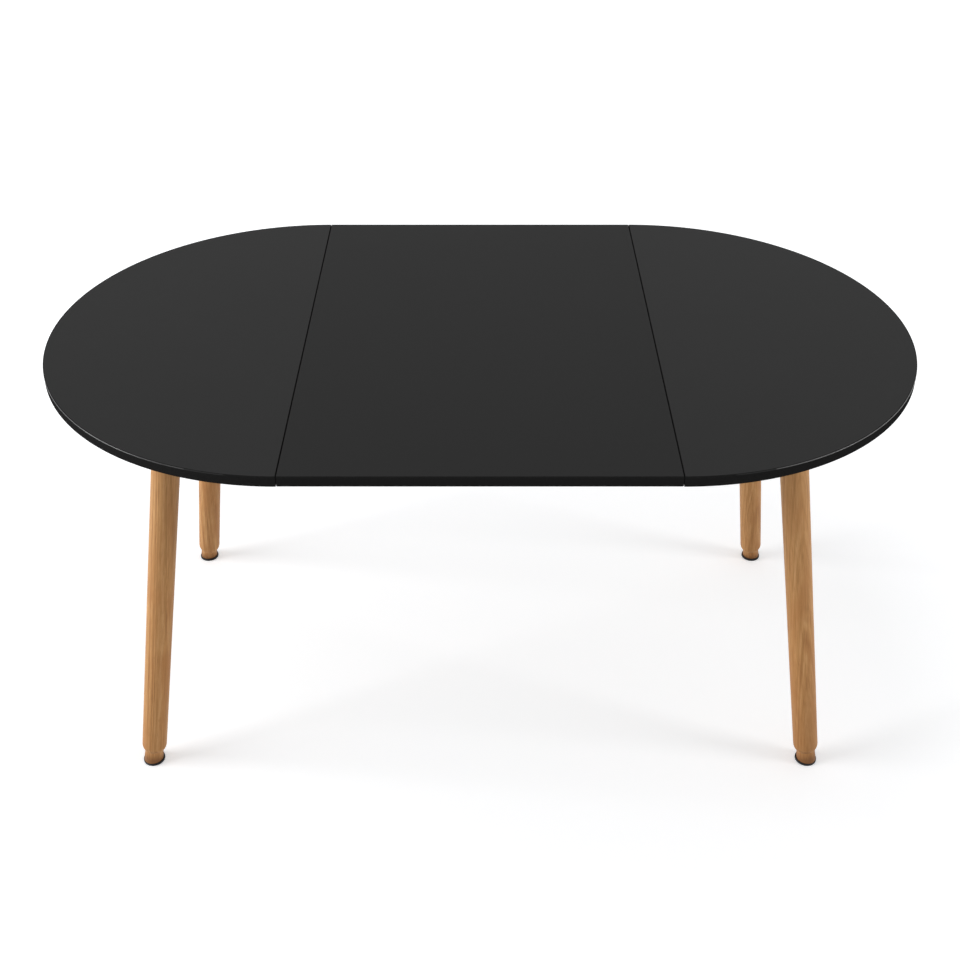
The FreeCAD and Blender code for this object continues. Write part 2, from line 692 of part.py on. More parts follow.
def pinion(line):
    """A spur gear with a tooth on +Y and one on -Y, bored for its axle."""
    pressure = math.radians(PRESSURE_ANGLE)
    base = PITCH_RADIUS * math.cos(pressure)
    half_tooth = (PITCH - BACKLASH) / (4 * PITCH_RADIUS)

    def flank_angle(radius):
        return half_tooth + involute(pressure) - involute(math.acos(base / radius))

    def at(radius, angle):
        return V(radius * math.sin(angle), line + radius * math.cos(angle), GEAR_BOTTOM)

    step = 2 * math.pi / GEAR_TEETH
    flank = max(base, ROOT_RADIUS)
    middle = (flank + TIP_RADIUS) / 2
    edges = []
    for count in range(GEAR_TEETH):
        turn = count * step
        rise = [at(radius, turn - flank_angle(radius)) for radius in (flank, middle, TIP_RADIUS)]
        fall = [at(radius, turn + flank_angle(radius)) for radius in (TIP_RADIUS, middle, flank)]
        root_start = at(ROOT_RADIUS, turn - flank_angle(flank))
        root_end = at(ROOT_RADIUS, turn + flank_angle(flank))
        next_start = at(ROOT_RADIUS, turn + step - flank_angle(flank))
        if flank > ROOT_RADIUS:
            edges.append(Part.makeLine(root_start, rise[0]))
        edges.append(Part.Arc(*rise).toShape())
        edges.append(Part.Arc(rise[2], at(TIP_RADIUS, turn), fall[0]).toShape())
        edges.append(Part.Arc(*fall).toShape())
        if flank > ROOT_RADIUS:
            edges.append(Part.makeLine(fall[2], root_end))
        edges.append(Part.Arc(root_end, at(ROOT_RADIUS, turn + step / 2), next_start).toShape())
    body = Part.Face(Part.Wire(edges)).extrude(UP * GEAR_THICKNESS)
    return cut(body, [cylinder(AXLE_DIAMETER / 2 + AXLE_RUNNING_GAP, 0, line, GEAR_BOTTOM, GEAR_TOP)])


AXLE_TOP = GEAR_TOP + GEAR_END_GAP + AXLE_HOLD


def pinion_axle(line):
    return cylinder(AXLE_DIAMETER / 2, 0, line, RAIL_BOTTOM, AXLE_TOP)


# Carriage that the halves run on

TIE_SCREW_SEAT = RAIL_BOTTOM - TIE_THICKNESS + SCREW_HEAD_HEIGHT
TIE_SCREW_LENGTH = TIE_THICKNESS - SCREW_HEAD_HEIGHT + TIE_SCREW_BITE


def tie_screw_places(side):
    lines = (-RAIL_Y, RAIL_Y)
    return [(side * TIE_FROM_MIDDLE + step * TIE_SCREW_OFFSET, y) for y in lines for step in (-1, 1)]


def tie_screw_holes(side):
    holes = []
    for x, y in tie_screw_places(side):
        holes += screw_hole(x, y, TIE_SCREW_SEAT, TIE_SCREW_LENGTH, TIE_SCREW_SEAT - TIE_THICKNESS)
    return holes


def tie(side):
    x = side * TIE_FROM_MIDDLE
    reach = RAIL_Y + RAIL_WIDTH / 2
    body = bar(x - TIE_WIDTH / 2, x + TIE_WIDTH / 2, -reach, reach, RAIL_BOTTOM - TIE_THICKNESS, RAIL_BOTTOM)
    return cut(body, tie_screw_holes(side))


def centre_rail(line):
    half = RAIL_WIDTH / 2
    core = RAIL_CORE / 2
    body = bar(-LEAF_HALF, LEAF_HALF, line - half, line + half, RAIL_BOTTOM, RAIL_TOP)
    low = TONGUE_BOTTOM - TONGUE_GAP
    high = TONGUE_TOP + TONGUE_GAP
    pocket = TIP_RADIUS + POCKET_GAP
    tools = [
        box(-LEAF_HALF, GROOVE_END, line + core, line + half, low, high),
        box(-GROOVE_END, LEAF_HALF, line - half, line - core, low, high),
        box(-pocket, pocket, line - half, line + half, GEAR_BOTTOM - GEAR_END_GAP, GEAR_TOP + GEAR_END_GAP),
        cylinder(AXLE_DIAMETER / 2 + GLUE_GAP, 0, line, RAIL_BOTTOM, AXLE_TOP),
    ]
    for x, y in peg_places():
        low = LEAF_UNDERSIDE - PEG_REACH - HOLE_SPARE
        tools.append(cylinder(PEG_DIAMETER / 2 + PEG_GAP, x, y, low, RAIL_TOP))
    return cut(body, tools + tie_screw_holes(-1) + tie_screw_holes(1))


# Every piece of a half, at its place in the right half

SIDES = {"front": -1, "back": 1}


def half_pieces():
    places = rest_screw_places() + end_rail_screw_places()
    pieces = {"end_rail": [end_rail()], "cross_rail": [cross_rail()]}
    for name, side in SIDES.items():
        line = side * RAIL_Y
        pieces[name + "_leg"] = [leg(side)]
        pieces[name + "_glide"] = [glide(side)]
        pieces[name + "_leg_block"] = [leg_block(side)]
        pieces[name + "_side_rail"] = [side_rail(side)]
        pieces[name + "_runner"] = [runner(line)]
        pieces[name + "_rack"] = [rack(line)]
        places += block_screw_places(side) + side_rail_screw_places(side) + runner_screw_places(line)
    both = SIDES.values()
    pieces["glide_screws"] = [glide_screw(side) for side in both]
    pieces["hanger_bolts"] = [hanger_bolt(side) for side in both]
    pieces["threaded_inserts"] = [threaded_insert(side) for side in both]
    pieces["cross_rail_dowels"] = cross_rail_dowels()
    pieces["leaf_rests"] = leaf_rests()
    pieces["frame_screws"] = frame_screws(places, UNDERSIDE)
    pieces["top"] = [half_top(places)]
    for solids in pieces.values():
        for solid in solids:
            solid.translate(V(HALF_SHIFT, 0, 0))
    return pieces


def turned_about(solids):
    copies = [solid.copy() for solid in solids]
    for solid in copies:
        solid.rotate(V(0, 0, 0), UP, 180)
    return copies


def table_pieces():
    pieces = {}
    swapped = {"front": "back", "back": "front"}
    for name, solids in half_pieces().items():
        pieces["right_" + name] = solids
        first, _, rest = name.partition("_")
        other = swapped.get(first, first) + ("_" + rest if rest else "")
        pieces["left_" + other] = turned_about(solids)
    batten_places = batten_screw_places(-1) + batten_screw_places(1)
    pieces["extension_leaf"] = [leaf_board(batten_places)]
    pieces["leaf_screws"] = frame_screws(batten_places, LEAF_UNDERSIDE)
    pieces["leaf_pegs"] = leaf_pegs()
    pieces["leaf_felt_pads"] = leaf_pads()
    for name, side in SIDES.items():
        line = side * RAIL_Y
        pieces[name + "_leaf_batten"] = [leaf_batten(side)]
        pieces[name + "_centre_rail"] = [centre_rail(line)]
        pieces[name + "_pinion"] = [pinion(line)]
    pieces["left_tie"] = [tie(-1)]
    pieces["right_tie"] = [tie(1)]
    tie_places = tie_screw_places(-1) + tie_screw_places(1)
    pieces["tie_screws"] = [screw(x, y, TIE_SCREW_SEAT, TIE_SCREW_LENGTH) for x, y in tie_places]
    pieces["pinion_axles"] = [pinion_axle(side * RAIL_Y) for side in SIDES.values()]
    return pieces


os.makedirs("parts", exist_ok=True)
for name, solids in table_pieces().items():
    shape = solids[0] if len(solids) == 1 else Part.makeCompound(solids)
    shape.exportStep("parts/" + name + ".step")
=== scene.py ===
import json
import math

import bmesh
import bpy
from bpy.props import FloatProperty, FloatVectorProperty, PointerProperty
from bpy.types import Operator, Panel, PropertyGroup
from mathutils import Matrix, Vector


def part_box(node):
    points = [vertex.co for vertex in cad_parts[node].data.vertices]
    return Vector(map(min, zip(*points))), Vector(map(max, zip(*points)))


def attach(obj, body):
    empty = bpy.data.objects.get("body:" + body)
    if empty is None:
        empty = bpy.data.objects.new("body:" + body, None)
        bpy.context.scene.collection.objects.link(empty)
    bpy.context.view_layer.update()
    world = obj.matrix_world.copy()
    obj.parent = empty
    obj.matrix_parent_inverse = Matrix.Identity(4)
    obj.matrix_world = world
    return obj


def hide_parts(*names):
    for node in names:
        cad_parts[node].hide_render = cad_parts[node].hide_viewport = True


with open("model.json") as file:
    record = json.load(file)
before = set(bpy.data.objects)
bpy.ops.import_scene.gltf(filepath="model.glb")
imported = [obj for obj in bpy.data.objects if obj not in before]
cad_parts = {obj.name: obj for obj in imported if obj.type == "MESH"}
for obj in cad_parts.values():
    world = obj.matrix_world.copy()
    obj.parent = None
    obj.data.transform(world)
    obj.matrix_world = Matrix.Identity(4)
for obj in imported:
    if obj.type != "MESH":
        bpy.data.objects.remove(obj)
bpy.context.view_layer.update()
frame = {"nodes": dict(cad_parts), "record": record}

bl_info = {
    "name": "Extending Table",
    "version": (1, 0, 0),
    "blender": (4, 5, 0),
    "location": "3D View > Sidebar > Table",
    "description": "Dresses a round extending table with its leaf laid in, and sets up a studio round it",
    "category": "Object",
}

MM = 0.001
SIDES = {"left": -1, "right": 1}
ENDS = {"front": -1, "back": 1}
LEGS = [(side, end) for side in SIDES for end in ENDS]

TOP_LOW, TOP_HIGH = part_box("right_top")
LEAF_LOW, LEAF_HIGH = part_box("extension_leaf")
LEG_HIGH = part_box("right_back_leg")[1]
BLOCK_LOW, BLOCK_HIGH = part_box("right_back_leg_block")
GLIDE_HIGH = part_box("right_back_glide")[1]

# Facets, and which faces and edges count as what
RIM_STEPS = 200     # facets along the rim of a half-round board
LEG_STEPS = 96      # facets round a leg
ARC_STEPS = 8       # facets across each small round or hollow
CREASE = 30.0       # degrees between two faces from which their edge stays crisp
FLAT = 0.999        # rise of a face's normal from which it counts as level
TURN_LOW = 0.10     # rises between which a face lies on the turn of the rim
TURN_HIGH = 0.85
FACE, RUBBED, EDGE = range(3)   # places of the three finishes on a board

# Finishes
NOISE_LOW = 0.3     # most values of a noise lie between these two
NOISE_HIGH = 0.7
MIX_FIRST, MIX_SECOND, MIX_RESULT = 6, 7, 2     # colour sockets of a mix node
MATT_SWING = 0.02   # how far the roughness of the top goes up and down
METAL_SWING = 0.07  # how far that of metal does
# Painted highlight: added to the rim's wear colour, lowering it at the left end and raising it at the right
# end to paint a highlight there
RIM_PAINTED_HIGHLIGHT = (-0.10, 0.25)        # added to the wear at the left and at the right end of the rim
LOG_STEP = (0.31, 0.17, 0.43)   # shift of the wood's figure from one leg to the next
LOG_TURN = 1.3      # radians by which the growth rings turn from one leg to the next
PITH = (0.09, 0.02, 0.0)        # heart of the log, round which the growth rings lie
RING_DRIFT = 0.010  # metres by which the growth rings wander
# Painted light: heights between which the upper leg, shaded by the board above, is painted paler
LEG_PAINTED_LIGHT = (0.25, 0.70)       # metres up the leg between which it grows paler
FOOT_SHADING = (0.03, 0.25)     # metres up the leg between which the shade of its foot fades out
# Painted shade: heights between which the shade painted on the foot just above the glide fades out, and how
# far its edge follows the streaks
GLIDE_PAINTED_SHADE = (0.016, 0.031)   # metres up the leg between which the oil in its end grain fades out
GLIDE_SHADE_RAGGED = 0.012             # metres by which that line follows the streaks of the wood
FOOT_SHADES = (0.14, 0.0, 0.55, 0.16)   # how much darker each of LEGS grows towards its foot
BEECH_GRAIN = {"pegs": 2, "rests": 0}   # axis of the grain where the node as a whole is longer another way
NYLON_CLOUD = (0.93, 0.91, 0.86)        # tint of the cloudy places in nylon

# Studio
WHITE = (1.0, 1.0, 1.0, 1.0)
FLOOR_BOUNCE = (0.6, 0.6, 0.6, 1.0)     # how much light the floor throws up at the table
FLOOR_RADIUS = 14.0         # metres
FLOOR_STEPS = 96            # facets round the floor
SKY_FRONT = (-0.9, 0.1)     # how far back a direction points where the sky starts and stops brightening
SENSOR_WIDTH = 36.0         # millimetres


def length(name, description, millimetres):
    return FloatProperty(name=name, description=description, default=millimetres * MM, min=0.0,
                         precision=5, subtype="DISTANCE", unit="LENGTH")


def angle(name, description, degrees):
    return FloatProperty(name=name, description=description, default=math.radians(degrees),
                         subtype="ANGLE", unit="ROTATION")


def place(name, description, x, y, z):
    return FloatVectorProperty(name=name, description=description, default=(x, y, z), size=3,
                               subtype="TRANSLATION", unit="LENGTH")


def colour(name, description, red, green, blue):
    return FloatVectorProperty(name=name, description=description, default=(red, green, blue), size=3,
                               min=0.0, max=1.0, subtype="COLOR")


def share(name, description, value):
    return FloatProperty(name=name, description=description, default=value, min=0.0, max=1.0,
                         subtype="FACTOR")


def power(name, description, watts):
    return FloatProperty(name=name, description=description, default=watts, min=0.0, unit="POWER")


def opening(name, description, width, height):
    return FloatVectorProperty(name=name, description=description, default=(width, height), size=2,
                               min=0.0, unit="LENGTH")


def group(name, kind):
    return PointerProperty(name=name, description=kind.__doc__, type=kind)


class TopSettings(PropertyGroup):
    """The two half-round boards and the leaf."""

    rim_round: length("Rim round", "Radius along the upper edge of the rim", 2.0)
    under_round: length("Under round", "Radius along the lower edge of the rim", 1.0)
    seam_bevel: length("Seam bevel", "Flat taken off the edges where the boards meet", 0.8)
    face: colour("Face", "Black of the half-round boards", 0.0150, 0.0150, 0.0150)
    # The leaf takes a slightly darker black than the half-round boards.
    leaf: colour("Leaf", "Black of the leaf, which is laid in less often and has faded less",
                 0.0105, 0.0105, 0.0105)
    fleck: FloatProperty(name="Fleck", description="How many times paler the flecks in the black are",
                         default=1.5, min=0.0)
    edge: colour("Edge", "Black lacquer on the edges and in the seams", 0.0130, 0.0130, 0.0131)
    fibre: colour("Fibre", "Fibres of the board that show through the lacquer", 0.0300, 0.0295, 0.0290)
    # Paler rim colour: partly wear, partly a painted highlight towards the right end
    worn_and_painted_highlight: colour("Worn rim", "Where hands have rubbed the rim paler", 0.1050, 0.1040, 0.1030)
    matt_from: length("Matt from", "Distance past the seam from which the rim is as matt as the face", 75.0)
    rubbed_from: length("Rubbed from", "Distance past the seam from which hands have rubbed the rim", 140.0)
    matt: share("Matt", "Roughness of the faces", 0.68)


class LegSettings(PropertyGroup):
    """The four turned legs."""

    seat_radius: length("Seat radius", "Radius at the block", 24.4)
    shoulder_radius: length("Shoulder radius", "Radius just above the neck", 22.4)
    shoulder_height: length("Shoulder height", "Height of the shoulder above the floor", 32.0)
    shoulder_round: length("Shoulder round", "Radius that softens the shoulder", 20.0)
    neck_radius: length("Neck radius", "Radius at the narrowest turn", 16.8)
    neck_slope: length("Neck slope", "Length of the slope from shoulder to neck", 7.0)
    neck_round: length("Neck round", "Radius that softens the turn into the neck", 3.0)
    neck_cove: length("Neck cove", "Length of the hollow curve from neck to foot", 16.0)
    foot_radius: length("Foot radius", "Radius just above the glide", 17.7)
    splay: angle("Splay", "Lean from upright, along the diagonal", 11.65)
    light: colour("Light oak", "Palest stripes of the oiled oak", 0.705, 0.400, 0.172)
    middle: colour("Middle oak", "Main tone of the oiled oak", 0.570, 0.285, 0.101)
    dark: colour("Dark oak", "Darkest stripes of the oiled oak", 0.360, 0.153, 0.045)
    ruddy: colour("Ruddy oak", "Warm patches in the oiled oak", 0.470, 0.200, 0.060)
    # Painted shade: the dark colour painted on the foot just above the glide
    painted_glide_shade: colour("Soaked oak", "The foot, where the end grain has soaked up oil", 0.210, 0.085, 0.026)


class GlideSettings(PropertyGroup):
    """The four glides under the legs."""

    plastic: colour("Plastic", "Moulded black plastic", 0.014, 0.014, 0.015)


class FrameSettings(PropertyGroup):
    """The beech frame, slides and battens under the top."""

    light: colour("Light beech", "Palest beech", 0.660, 0.470, 0.300)
    middle: colour("Middle beech", "Main tone of the beech", 0.560, 0.375, 0.220)
    fleck: colour("Fleck", "Short brown flecks along the grain", 0.330, 0.180, 0.090)


class FittingSettings(PropertyGroup):
    """Screws, bolts, axles, inserts, racks, pinions and felt."""

    zinc: colour("Zinc", "Plated steel", 0.600, 0.600, 0.580)
    brass: colour("Brass", "Turned brass", 0.720, 0.530, 0.240)
    nylon: colour("Nylon", "Moulded nylon", 0.780, 0.760, 0.700)
    felt: colour("Felt", "Pressed felt", 0.250, 0.250, 0.250)


class StudioSettings(PropertyGroup):
    """Floor, sky, lamps and camera."""

    eye: place("Camera", "Where the camera stands", 0.0, -2.03263, 1.85797)
    dip: angle("Dip", "How far the camera looks down", 35.12)
    lens: FloatProperty(name="Lens", description="Focal length in millimetres on a 36 mm sensor",
                        default=49.0202, unit="CAMERA")
    left_lamp: power("Left lamp", "Power of the left softbox", 470.0)
    left_size: opening("Left size", "Width and height of the left softbox", 4.6, 3.2)
    left_place: place("Left place", "Where the left softbox hangs", -8.0, -1.2, 3.1)
    left_aim: place("Left aim", "Where the left softbox points", 0.0, 0.0, 0.5)
    right_lamp: power("Right lamp", "Power of the right softbox", 64.0)
    right_size: opening("Right size", "Width and height of the right softbox", 1.4, 1.2)
    right_place: place("Right place", "Where the right softbox hangs", 5.0, -1.2, 2.3)
    right_aim: place("Right aim", "Where the right softbox points", 0.0, 0.0, 0.4)
    horizon: FloatProperty(name="Horizon", description="Strength of the light from all round at floor level",
                           default=1.0, min=0.0)
    zenith: share("Zenith", "Light from overhead as a share of that from all round", 0.35)
    front: share("Front", "Light from the camera's side as a share of that from the other sides", 0.60)
    floor: colour("Floor", "White of the paper floor", 0.955, 0.970, 0.990)
    glow: share("Glow", "Light that comes through the paper near the table", 0.34)
    far_glow: share("Far glow", "Light that comes through the paper away from the table", 0.55)
    lean: share("Lean", "How much more of that light comes on the left, and less on the right", 0.035)
    near: length("Near", "Distance from the middle at which the glow starts to grow", 850.0)
    far: length("Far", "Distance from the middle at which the glow is full", 1600.0)


class TableSettings(PropertyGroup):
    """Everything about the table that a user may change."""

    top: group("Top", TopSettings)
    legs: group("Legs", LegSettings)
    glides: group("Glides", GlideSettings)
    frame: group("Frame", FrameSettings)
    fittings: group("Fittings", FittingSettings)
    studio: group("Studio", StudioSettings)


class Nodes:
    """A tree of shader nodes, and short calls that add to it."""

    def __init__(self, tree):
        self.tree = tree

    def feed(self, socket, value):
        """Links an output to a socket, or sets the socket to a plain value."""
        if isinstance(value, bpy.types.NodeSocket):
            self.tree.links.new(value, socket)
        else:
            socket.default_value = value

    def node(self, kind, inputs=None, **settings):
        """Adds a node. Its inputs go by name, or by place where several share a name."""
        node = self.tree.nodes.new(kind)
        for name, value in settings.items():
            setattr(node, name, value)
        for key, value in (inputs or {}).items():
            self.feed(node.inputs[key], value)
        return node

    def between(self, value, low, high, to_low=0.0, to_high=1.0):
        """Carries the values from low to high over to those from to_low to to_high, and stops there."""
        inputs = {"Value": value, "From Min": low, "From Max": high, "To Min": to_low, "To Max": to_high}
        return self.node("ShaderNodeMapRange", inputs).outputs["Result"]

    def maths(self, operation, first, second):
        return self.node("ShaderNodeMath", {0: first, 1: second}, operation=operation).outputs["Value"]

    def parts(self, vector):
        """The X, Y and Z of a place or direction."""
        return self.node("ShaderNodeSeparateXYZ", {"Vector": vector}).outputs


class Finish(Nodes):
    """A material with one Principled surface, and short calls for the nodes that feed it."""

    def __init__(self, name, **sockets):
        self.material = bpy.data.materials.new(name)
        self.material.use_nodes = True
        super().__init__(self.material.node_tree)
        self.surface = self.tree.nodes["Principled BSDF"]
        for socket, value in sockets.items():
            self.set(socket.replace("_", " "), value)
        self.place = self.node("ShaderNodeTexCoord").outputs["Object"]

    def set(self, socket, value):
        self.feed(self.surface.inputs[socket], value)

    def stretched(self, scale, shift=(0, 0, 0), turn=(0, 0, 0)):
        """The piece's own places, drawn out along the axes whose scale is small."""
        inputs = {"Vector": self.place, "Location": shift, "Rotation": turn, "Scale": scale}
        return self.node("ShaderNodeMapping", inputs).outputs["Vector"]

    def noise(self, where, scale, detail=3.0, roughness=0.5, distortion=0.0):
        inputs = {"Vector": where, "Scale": scale, "Detail": detail, "Roughness": roughness,
                  "Distortion": distortion}
        return self.node("ShaderNodeTexNoise", inputs).outputs["Fac"]

    def blend(self, *weighted):
        """The sum of several values, each given with its weight."""
        total, *others = [self.maths("MULTIPLY", value, weight) for value, weight in weighted]
        for other in others:
            total = self.maths("ADD", total, other)
        return total

    def ramp(self, value, *stops):
        """Runs through several colours, each given with the value at which it is reached."""
        node = self.node("ShaderNodeValToRGB", {"Fac": value})
        points = node.color_ramp.elements
        while len(points) < len(stops):
            points.new(0.5)
        for point, (where, tone) in zip(points, stops):
            point.position = where
            point.color = (*tone, 1.0)
        return node.outputs["Color"]

    def mixed(self, amount, first, second):
        """Goes from a colour that nodes make towards a plain one."""
        inputs = {"Factor": amount, MIX_FIRST: first, MIX_SECOND: (*second, 1.0)}
        return self.node("ShaderNodeMix", inputs, data_type="RGBA").outputs[MIX_RESULT]

    def roughen(self, noise, at_low, at_high):
        """Lets the roughness of the surface follow a noise, from its low values to its high ones."""
        self.set("Roughness", self.between(noise, NOISE_LOW, NOISE_HIGH, at_low, at_high))

    def bump(self, height, depth):
        inputs = {"Height": height, "Distance": depth, "Strength": 1.0}
        self.set("Normal", self.node("ShaderNodeBump", inputs).outputs["Normal"])


def toned(tone, factor):
    """A colour made paler or darker."""
    return tuple(factor * part for part in tone)


def dress(piece, *materials):
    """Gives a piece its finishes. A new piece has none yet, and keeps which face takes which."""
    if piece.data.materials:
        piece.data.materials.clear()
    for material in materials:
        piece.data.materials.append(material)


def nodes_of(slot):
    """Names of the frame's nodes that are made of one material."""
    names = [part["node"] for part in frame["record"]["subparts"] if part["material_slot"] == slot]
    if not names:
        raise RuntimeError(f"no node is made of {slot}")
    return names


def dress_nodes(slot, material):
    for name in nodes_of(slot):
        dress(frame["nodes"][name], material)


def new_piece(name, shape):
    mesh = bpy.data.meshes.new(name)
    shape.to_mesh(mesh)
    shape.free()
    if not mesh.polygons:
        raise RuntimeError(f"{name} came out empty")
    piece = bpy.data.objects.new(name, mesh)
    bpy.context.scene.collection.objects.link(piece)
    return piece


def settle(piece, body, slot, *nodes):
    """Puts a piece on the body that carries it, in place of the frame's nodes."""
    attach(piece, body)
    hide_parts(*nodes)


def skin(shape, rings):
    """Joins closed rings of points in order, and closes both ends with flat faces that have crisp edges."""
    loops = [[shape.verts.new(point) for point in ring] for ring in rings]
    count = len(loops[0])
    for below, above in zip(loops, loops[1:]):
        for step in range(count):
            after = (step + 1) % count
            face = shape.faces.new((below[step], below[after], above[after], above[step]))
            face.smooth = True
    for loop in (loops[0], loops[-1]):
        for edge in shape.faces.new(loop).edges:
            edge.smooth = False
    bmesh.ops.recalc_face_normals(shape, faces=shape.faces)


def crease(shape):
    """Keeps every edge crisp at which two faces meet at a marked angle."""
    limit = math.radians(CREASE)
    for edge in shape.edges:
        if len(edge.link_faces) == 2 and edge.calc_face_angle(0.0) > limit:
            edge.smooth = False


def round_levels(low, high, lower_round, upper_round):
    """Heights of the rings that a board's rounded rim needs, from its underside up."""
    turns = [step * math.pi / 2 / ARC_STEPS for step in range(ARC_STEPS + 1)]
    lower = [low + lower_round * (1 - math.cos(turn)) for turn in turns]
    upper = [high - upper_round * (1 - math.cos(turn)) for turn in turns]
    return lower + upper


def round_inset(depth, radius):
    """How far a rounded edge stands back at a depth below its face."""
    if depth >= radius:
        return 0.0
    return radius - math.sqrt(max(0.0, radius ** 2 - (radius - depth) ** 2))


def board_rings(settings, low, high, outline):
    """Rings up a board. Each stands back by what the round of the rim and the bevel of the seam take off."""
    levels = round_levels(low, high, settings.under_round, settings.rim_round)
    levels += [low + settings.seam_bevel, high - settings.seam_bevel]
    rings = []
    for level in sorted(set(levels)):
        rim = max(round_inset(level - low, settings.under_round),
                  round_inset(high - level, settings.rim_round))
        seam = max(0.0, settings.seam_bevel - (level - low), settings.seam_bevel - (high - level))
        rings.append([(x, y, level) for x, y in outline(rim, seam)])
    return rings


def half_round(side):
    """Outline of a half-round board, from one end of its seam round the rim to the other."""
    seam_line = TOP_LOW.x
    radius = TOP_HIGH.y

    def outline(rim, seam):
        reach = radius - rim
        turn = math.acos(seam / reach)
        angles = [turn * (2 * step / RIM_STEPS - 1) for step in range(RIM_STEPS + 1)]
        return [(side * (seam_line + reach * math.cos(a)), side * reach * math.sin(a)) for a in angles]

    return outline


def leaf_outline(rim, seam):
    """Outline of the leaf, whose short sides are rims and whose long sides are seams."""
    x = LEAF_HIGH.x - seam
    y = LEAF_HIGH.y - rim
    return [(-x, -y), (x, -y), (x, y), (-x, y)]


def laminate_grain(finish):
    return finish.noise(finish.place, scale=1500.0, detail=2.0, roughness=0.6)


def face_finish(settings, name, black):
    """Matt black laminate: a fine soft grain, faint cloudiness and a trace of lighter fleck."""
    finish = Finish(name, Specular_IOR_Level=0.165)
    grain = laminate_grain(finish)
    cloud = finish.noise(finish.place, scale=5.0, detail=4.0, roughness=0.6)
    tone = finish.blend((grain, 0.6), (cloud, 0.4))
    finish.set("Base Color", finish.ramp(tone, (0.38, black), (0.66, toned(black, settings.fleck))))
    finish.roughen(cloud, settings.matt - MATT_SWING, settings.matt + MATT_SWING)
    finish.bump(grain, depth=0.04 * MM)
    return finish.material


def rim_finish(settings):
    """The rounded upper edge: the same black, rubbed smoother, with paler patches of wear, and a painted
    highlight that makes it paler still towards the right end and less so towards the left."""
    finish = Finish("rubbed_black_rim_painted_highlight", Specular_IOR_Level=0.42)
    grain = laminate_grain(finish)
    wear = finish.noise(finish.place, scale=22.0, detail=5.0, roughness=0.65)
    along = finish.parts(finish.place)["X"]
    # Painted highlight: the wear rises along the rim towards the right end, so the rim is painted paler
    # there
    worn_and_painted_highlight = finish.maths("ADD", wear, finish.between(along, -TOP_HIGH.x, TOP_HIGH.x, *RIM_PAINTED_HIGHLIGHT))
    finish.set("Base Color", finish.ramp(worn_and_painted_highlight, (0.45, settings.face), (0.75, settings.worn_and_painted_highlight)))
    finish.roughen(wear, 0.34, 0.24)
    finish.bump(grain, depth=0.02 * MM)
    return finish.material


def edge_finish(settings):
    """Black-lacquered board edge: dead matt, with the board's fibres showing faintly through."""
    finish = Finish("black_lacquered_edge", Specular_IOR_Level=0.0)
    fibres = finish.noise(finish.stretched((1.0, 1.0, 6.0)), scale=420.0, detail=4.0, roughness=0.6)
    finish.set("Base Color", finish.ramp(fibres, (0.40, settings.edge), (0.80, settings.fibre)))
    finish.roughen(fibres, 0.55, 0.70)
    finish.bump(fibres, depth=0.05 * MM)
    return finish.material


def sort_faces(shape, settings):
    """Marks which finish each face of a board takes. Only the turn of the upper rim is rubbed, and between
    its rubbed and its lacquered length lies one that is as matt as the flat faces."""
    shape.normal_update()
    for face in shape.faces:
        rise = face.normal.z
        past_seam = abs(face.calc_center_median().x) - TOP_LOW.x
        if abs(rise) > FLAT:
            face.material_index = FACE
        elif TURN_LOW < rise < TURN_HIGH and past_seam > settings.matt_from:
            face.material_index = RUBBED if past_seam > settings.rubbed_from else FACE
        else:
            face.material_index = EDGE


class TABLE_OT_top_boards(Operator):
    """Make the two half-round boards and the leaf, with rounded rims and bevelled seams"""

    bl_idname = "table.top_boards"
    bl_label = "Top boards"

    def execute(self, context):
        settings = context.scene.extending_table.top
        half_face = face_finish(settings, "black_laminate", settings.face)
        leaf_face = face_finish(settings, "black_laminate_leaf", settings.leaf)
        edges = (rim_finish(settings), edge_finish(settings))
        boards = [(f"{name}_board", half_round(side), TOP_LOW.z, half_face, f"{name}_half", f"{name}_top")
                  for name, side in SIDES.items()]
        boards.append(("leaf_board", leaf_outline, LEAF_LOW.z, leaf_face, "leaf", "extension_leaf"))
        for name, outline, low, face, body, node in boards:
            shape = bmesh.new()
            skin(shape, board_rings(settings, low, TOP_HIGH.z, outline))
            crease(shape)
            sort_faces(shape, settings)
            board = new_piece(name, shape)
            dress(board, face, *edges)
            settle(board, body, "black_laminate", node)
        return {"FINISHED"}


def softened(corners):
    """A profile of corners, each given with the radius of the arc that rounds it, or 0 to leave it crisp."""
    points = []
    for index, (corner, radius) in enumerate(corners):
        here = Vector(corner)
        if not radius:
            points.append(here)
            continue
        back = (Vector(corners[index - 1][0]) - here).normalized()
        on = (Vector(corners[index + 1][0]) - here).normalized()
        half = back.angle(on) / 2
        centre = here + (back + on).normalized() * (radius / math.sin(half))
        first = here + back * (radius / math.tan(half)) - centre
        last = here + on * (radius / math.tan(half)) - centre
        sweep = first.angle_signed(last)
        for step in range(ARC_STEPS + 1):
            turn = -sweep * step / ARC_STEPS
            spoke = Vector((first.x * math.cos(turn) - first.y * math.sin(turn),
                            first.x * math.sin(turn) + first.y * math.cos(turn)))
            points.append(centre + spoke)
    return points


def cove(settings, neck):
    """The hollow curve from the foot up to the neck, upright where it meets the neck."""
    flare = settings.foot_radius - settings.neck_radius
    sweep = 2 * math.atan2(flare, settings.neck_cove)
    radius = settings.neck_cove / math.sin(sweep)
    turns = [sweep * (1 - step / ARC_STEPS) for step in range(ARC_STEPS)]
    return [Vector((settings.neck_radius + radius * (1 - math.cos(turn)), neck - radius * math.sin(turn)))
            for turn in turns]


